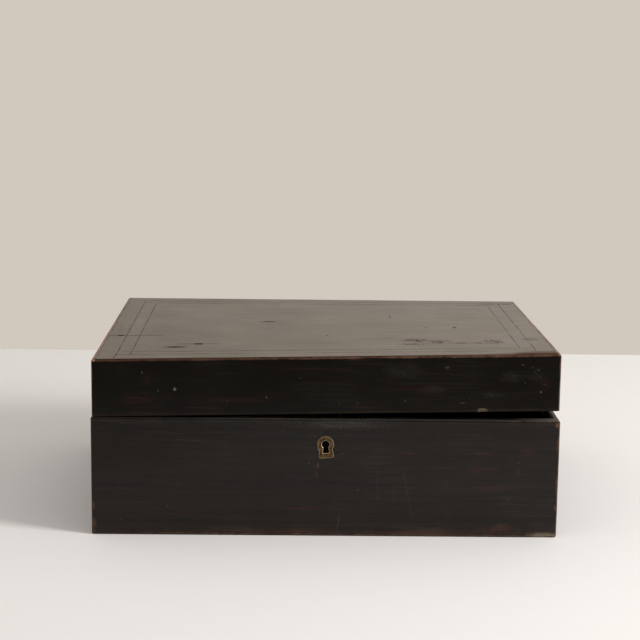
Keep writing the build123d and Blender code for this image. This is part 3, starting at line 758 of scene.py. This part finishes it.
def linked(name, data):
    """New object in the scene."""
    made = bpy.data.objects.new(name, data)
    bpy.context.scene.collection.objects.link(made)
    return made


def finished(shape, name):
    """New object with the mesh that has been built up."""
    data = bpy.data.meshes.new(name)
    shape.to_mesh(data)
    shape.free()
    return linked(name, data)


def scattered(rough, start, end, count, across):
    """Small knocks at random along an arris, with half sizes that follow its direction."""
    run = Vector(end) - Vector(start)
    knocks = []
    for place in range(count):
        middle = Vector(start) + run * ((place + rough.uniform(0.15, 0.85)) / count)
        along = rough.uniform(0.8, 3.2)
        wide = across * rough.uniform(0.85, 1.15)
        size = [wide + (along - wide) * abs(part) for part in run.normalized()]
        knocks.append((tuple(middle), size))
    return knocks


def lump(shape, middle, size, shift):
    """Adds a rough lump, the shape of what a knock takes away."""
    made = bmesh.ops.create_icosphere(shape, subdivisions=2, radius=1)
    for corner in made["verts"]:
        swell = 1 + 0.28 * noise.noise(corner.co * 1.4 + Vector((shift, 0, 0)))
        corner.co = Vector(part * half for part, half in zip(corner.co * swell, size)) + Vector(middle)


def crack(shape, line, width, depth):
    """Adds a thin wedge along a wandering line on the top, open upwards."""
    rows = []
    for place, (x, y) in enumerate(line):
        taper = 0.35 + 0.65 * (1 - place / (len(line) - 1))
        half = width / 2 * taper
        rows.append([shape.verts.new(corner) for corner in
                     ((x, y - half, LID_HEIGHT + 0.6), (x, y + half, LID_HEIGHT + 0.6),
                      (x, y, LID_HEIGHT - depth * taper))])
    for near, far in zip(rows, rows[1:]):
        for side in range(3):
            shape.faces.new((near[side], near[side - 1], far[side - 1], far[side]))
    shape.faces.new(rows[0])
    shape.faces.new(rows[-1][::-1])


def reaches(middle, size, node):
    """Whether a knock can touch a board, by the board's box seen from above."""
    low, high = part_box(node)
    spare = 1.4
    return all(low[axis] / MM - spare * size[axis] < middle[axis] < high[axis] / MM + spare * size[axis]
               for axis in (0, 1))


def knocks_mesh(knocks, node, body):
    """One mesh of the lumps that are cut out of a board of the lid or of the base."""
    lid = body == "lid"
    shape = bmesh.new()
    for place, (middle, size) in enumerate(knocks):
        if reaches(middle, size, node):
            lump(shape, middle, size, 3.7 * place)
    if lid and reaches(CRACK_MIDDLE, CRACK_REACH, node):
        crack(shape, LID_CRACK, 0.8, 0.9)
    for corner in shape.verts:
        x, y, z = corner.co
        raised = RIM + lift(x, y) + z if lid else z
        corner.co = Vector((x, y, raised)) * MM
    bmesh.ops.recalc_face_normals(shape, faces=shape.faces)
    return finished(shape, f"{body}_knocks")


def welded(node, plain=False):
    """Closed copy of a CAD node's mesh, with no walls inside where its solids meet. A plain one has no edges
    inside its flats."""
    shape = bmesh.new()
    shape.from_mesh(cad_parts[node].data)
    bmesh.ops.remove_doubles(shape, verts=shape.verts, dist=WELD)
    shared = {edge for edge in shape.edges if len(edge.link_faces) > 2}
    walls = [face for face in shape.faces if len(shared.intersection(face.edges)) > 1]
    bmesh.ops.delete(shape, geom=walls, context="FACES")
    if plain:
        bmesh.ops.dissolve_limit(shape, angle_limit=FLAT, verts=shape.verts, edges=shape.edges)
    return finished(shape, f"{node}_worn")


def even_normals(data):
    """Gives the twisted faces of the lid the true surface's normals, so that its polish mirrors evenly."""
    normals = [Vector(corner.vector) for corner in data.corner_normals]
    for face in data.polygons:
        for loop in face.loop_indices:
            x, y, _ = data.vertices[data.loops[loop].vertex_index].co / MM
            forward, across = shares(x, y)
            slope_x = forward * (LIFT_RIGHT - LIFT_LEFT) / (2 * LID_HALF)
            slope_y = -(across * (LIFT_RIGHT - LIFT_LEFT) + LIFT_LEFT - LIFT_BACK) / (2 * HALF_DEPTH)
            true = Vector((-slope_x, -slope_y, 1)).normalized()
            facing = face.normal.dot(true)
            if abs(facing) > TWISTED:
                normals[loop] = true if facing > 0 else -true
    data.normals_split_custom_set(normals)


def applied(piece):
    """Gives a copy the mesh that its modifier makes."""
    data = bpy.data.meshes.new_from_object(piece.evaluated_get(bpy.context.evaluated_depsgraph_get()))
    piece.modifiers.clear()
    piece.data = data


def without_needles(data):
    """Takes needle-thin faces out of a mesh."""
    shape = bmesh.new()
    shape.from_mesh(data)
    bmesh.ops.dissolve_degenerate(shape, edges=shape.edges, dist=WELD)
    shape.to_mesh(data)
    shape.free()


def settled(piece, node, body):
    """Evens a copy's shading and lets it stand for its CAD node."""
    weighted = piece.modifiers.new("normals", "WEIGHTED_NORMAL")
    weighted.keep_sharp = True
    applied(piece)
    if body == "lid":
        even_normals(piece.data)
    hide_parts(node)
    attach(piece, body)


def knocked(node, body, knocks):
    """Copy of a board with the knocks cut out of it."""
    piece = welded(node)
    cut = piece.modifiers.new("knocks", "BOOLEAN")
    cut.operation = "DIFFERENCE"
    cut.solver = "EXACT"
    cut.use_self = True
    cut.object = knocks
    applied(piece)
    without_needles(piece.data)
    piece.data.shade_smooth()
    piece.data.set_sharp_from_angle(angle=SHARP)
    settled(piece, node, body)


def eased(node, body, width):
    """Copy of a metal piece with its sharp edges eased. The eased edges take its second material."""
    piece = welded(node, plain=True)
    for slot in (0, 1):
        piece.data.materials.append(bpy.data.materials.new(f"{node}_{slot}"))
    piece.data.shade_smooth()
    piece.data.set_sharp_from_angle(angle=SHARP)
    bevel = piece.modifiers.new("eased", "BEVEL")
    bevel.width = width * MM
    bevel.segments = 3
    bevel.material = 1
    bevel.limit_method = "ANGLE"
    bevel.angle_limit = EASED
    applied(piece)
    without_needles(piece.data)
    settled(piece, node, body)


def dress(node, *materials):
    """Gives a CAD node, or the worn copy that stands for it, its materials."""
    piece = bpy.data.objects.get(f"{node}_worn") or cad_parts[node]
    slots = piece.data.materials
    for place, material in enumerate(materials):
        if place < len(slots):
            slots[place] = material
        else:
            slots.append(material)


# Stage, lamps and camera

def table_colour(name, shade):
    """Pale matt table with a faint mottle."""
    finish = Finish(name)
    grain = finish.noise(finish.place()[0], 0.05, 3, 0.6)
    tint = finish.mix((grain - 0.5) * 0.06 + 0.03, shade, MOTTLE)
    return finish.close({"Base Color": tint, "Roughness": 0.85})


def backdrop_colour(name, shade, high_shade):
    """Plain backdrop that glows the same to the camera and in reflections. Higher up it is warmer, and
    brighter to the right, as painted lamp light."""
    finish = Finish(name)
    seen = together(finish.ray(kind) for kind in ("Camera", "Glossy", "Transmission"))
    _, x, _, z = finish.place()
    high = z.fade(*WARMER)
    strength = 1 + high * (x.fade(-700, 700) * 0.5 - 0.1)
    tint = finish.mix(high, shade, high_shade)
    glow = finish.node("ShaderNodeEmission", None, {"Color": tint, "Strength": strength})
    matt = finish.node("ShaderNodeBsdfDiffuse", None, {"Color": shade})
    surface = finish.node("ShaderNodeMixShader", None, {0: seen, 1: matt, 2: glow})
    finish.node("ShaderNodeOutputMaterial", None, {"Surface": surface})
    return finish.data


def sheet(name, corners, material):
    """Flat sheet of the stage between given corners."""
    shape = bmesh.new()
    shape.faces.new([shape.verts.new(corner) for corner in corners])
    made = finished(shape, name)
    made.data.materials.append(material)


class SetStage(bpy.types.Operator):
    """Lays the table and hangs the backdrop"""
    bl_idname = "old_box.set_stage"
    bl_label = "Set the stage"

    def execute(self, context):
        studio = context.scene.old_box_studio
        reach, back, front = TABLE_REACH, studio.table_back, -studio.table_front
        table = [(-reach, front, 0), (reach, front, 0), (reach, back, 0), (-reach, back, 0)]
        sheet("table", table, table_colour("table_top", studio.table))
        far = studio.wall_back
        wall = [(-2 * reach, far, -reach), (2 * reach, far, -reach), (2 * reach, far, reach),
                (-2 * reach, far, reach)]
        sheet("backdrop", wall, backdrop_colour("backdrop", studio.wall, studio.wall_high))
        return {"FINISHED"}


class LightStudio(bpy.types.Operator):
    """Lights the box with one soft lamp and an even fill"""
    bl_idname = "old_box.light_studio"
    bl_label = "Light the studio"

    def execute(self, context):
        studio = context.scene.old_box_studio
        flat = cos(studio.key_height) * studio.key_distance
        place = Vector((sin(studio.key_side) * flat, -cos(studio.key_side) * flat,
                        sin(studio.key_height) * studio.key_distance))
        lamp = bpy.data.lights.new("key_lamp", "AREA")
        lamp.shape = "SQUARE"
        lamp.size = studio.key_size
        lamp.energy = studio.key_power
        made = linked("key_lamp", lamp)
        made.location = place
        made.rotation_euler = (-place).to_track_quat("-Z", "Y").to_euler()

        room = Finish("studio_room", "worlds")
        context.scene.world = room.data
        seen = room.ray("Camera").most(room.ray("Transmission"))
        strength = room.node("ShaderNodeMapRange", None, {"Value": room.ray("Glossy"), "To Min": studio.fill,
                                                          "To Max": studio.fill * studio.gloom})
        fill = room.node("ShaderNodeBackground", None, {"Color": FILL_TINT, "Strength": strength})
        shown = room.node("ShaderNodeBackground", None, {"Color": studio.wall})
        mixed = room.node("ShaderNodeMixShader", None, {0: seen, 1: fill, 2: shown})
        room.node("ShaderNodeOutputWorld", None, {"Surface": mixed})
        context.scene.view_settings.view_transform = "Standard"
        return {"FINISHED"}


class PlaceCamera(bpy.types.Operator):
    """Stands the camera where the box is seen from"""
    bl_idname = "old_box.place_camera"
    bl_label = "Place the camera"

    def execute(self, context):
        stand = context.scene.old_box_camera
        ahead = Vector((sin(stand.bearing) * cos(stand.dip), cos(stand.bearing) * cos(stand.dip),
                        -sin(stand.dip)))
        right = Vector((cos(stand.bearing), -sin(stand.bearing), 0))
        above = right.cross(ahead)
        rolled = right * cos(stand.roll) + above * sin(stand.roll)
        upright = above * cos(stand.roll) - right * sin(stand.roll)
        turn = Matrix((rolled, upright, -ahead)).transposed()
        data = bpy.data.cameras.new("camera")
        data.lens = stand.lens
        data.sensor_width = SENSOR
        made = linked("camera", data)
        made.matrix_world = Matrix.Translation(stand.place) @ turn.to_4x4()
        context.scene.camera = made
        return {"FINISHED"}


class CutKnocks(bpy.types.Operator):
    """Cuts knocks, dents and a crack out of the boards, and eases the escutcheon's edges"""
    bl_idname = "old_box.cut_knocks"
    bl_label = "Cut the knocks"

    def execute(self, context):
        rough = random.Random(MARK_SEED)
        for body, boards, placed, arrises in (("base", BASE_BOARDS, BASE_KNOCKS, BASE_ARRISES),
                                              ("lid", LID_BOARDS, LID_KNOCKS, LID_ARRISES)):
            knocks = placed + [knock for arris in arrises for knock in scattered(rough, *arris)]
            for node in boards:
                cutter = knocks_mesh(knocks, node, body)
                knocked(node, body, cutter)
                bpy.data.objects.remove(cutter)
        eased("escutcheon", "base", ESCUTCHEON_EASE)
        return {"FINISHED"}


class FinishBase(bpy.types.Operator):
    """Stains, polishes and wears the boards of the base"""
    bl_idname = "old_box.finish_base"
    bl_label = "Finish the base"

    def execute(self, context):
        dress("base_front", ebonised("base_front_wood", marks=base_front_marks))
        dress("base_back", ebonised("base_back_wood"))
        for side in ("left", "right"):
            dress(f"base_{side}_side", ebonised(f"base_{side}_wood", along=1))
        dress("base_bottom", bare("bottom_wood", 0))
        return {"FINISHED"}


class FinishLid(bpy.types.Operator):
    """Stains, polishes and wears the lid"""
    bl_idname = "old_box.finish_lid"
    bl_label = "Finish the lid"

    def execute(self, context):
        dress("lid_front", ebonised("lid_front_wood", lid=True, marks=lid_front_marks))
        dress("lid_back", ebonised("lid_back_wood", lid=True))
        for side in ("left", "right"):
            dress(f"lid_{side}_side", ebonised(f"lid_{side}_wood", lid=True, along=1))
        dress("lid_top_panel", ebonised("lid_top_wood", lid=True, marks=top_marks, top=True))
        return {"FINISHED"}


class FinishStringing(bpy.types.Operator):
    """Darkens the two lines let into the top"""
    bl_idname = "old_box.finish_stringing"
    bl_label = "Finish the stringing"

    def execute(self, context):
        line = stringing("stringing_wood")
        for node in ("lid_outer_line", "lid_inner_line"):
            dress(node, line)
        return {"FINISHED"}


class FinishMetal(bpy.types.Operator):
    """Gives the hinges, the lock, the escutcheon and the fixings their metals"""
    bl_idname = "old_box.finish_metal"
    bl_label = "Finish the metalwork"

    def execute(self, context):
        # The escutcheon's eased edges take the rim brass: rubbed brass and a painted highlight
        dress("escutcheon", brass("escutcheon_brass", 0.42), brass("escutcheon_rim_and_highlight", 0.24, rubbed=0.9))
        fittings = brass("fittings_brass", 0.34)
        # The lock's works and the link hooks sit in shade, so their brass is painted nearly black as shade
        works = brass("works_brass_painted_shade", 0.7, 0.9)
        springs = steel("spring_steel")
        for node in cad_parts:
            if node in ("lock_spring", "bottom_brads") or node.endswith("hinge_pin"):
                dress(node, springs)
            elif node in ("lock_cap", "lock_drill_pin", "lock_studs", "lock_bolt", "link_hooks"):
                dress(node, works)
            elif node.startswith(("lock_", "link_")) or "hinge" in node:
                dress(node, fittings)
        return {"FINISHED"}


STEPS = (SetStage, PlaceCamera, LightStudio, CutKnocks, FinishBase, FinishLid, FinishStringing, FinishMetal)
GROUPS = {"old_box_wood": WoodFinish, "old_box_metal": MetalFinish, "old_box_studio": StudioSizes,
          "old_box_camera": CameraPlace}


class OldBoxPanel(bpy.types.Panel):
    """Steps that finish, light and frame the box"""
    bl_idname = "OLDBOX_PT_steps"
    bl_label = "Old box"
    bl_space_type = "VIEW_3D"
    bl_region_type = "UI"
    bl_category = "Old box"

    def draw(self, context):
        for step in STEPS:
            self.layout.operator(step.bl_idname)


def register():
    for kind in (*GROUPS.values(), *STEPS, OldBoxPanel):
        bpy.utils.register_class(kind)
    for name, kind in GROUPS.items():
        setattr(bpy.types.Scene, name, bpy.props.PointerProperty(type=kind))


def unregister():
    for name in GROUPS:
        delattr(bpy.types.Scene, name)
    for kind in reversed((*GROUPS.values(), *STEPS, OldBoxPanel)):
        bpy.utils.unregister_class(kind)


def main():
    register()
    for step in STEPS:
        group, name = step.bl_idname.split(".")
        getattr(getattr(bpy.ops, group), name)()


if __name__ == "__main__":
    main()
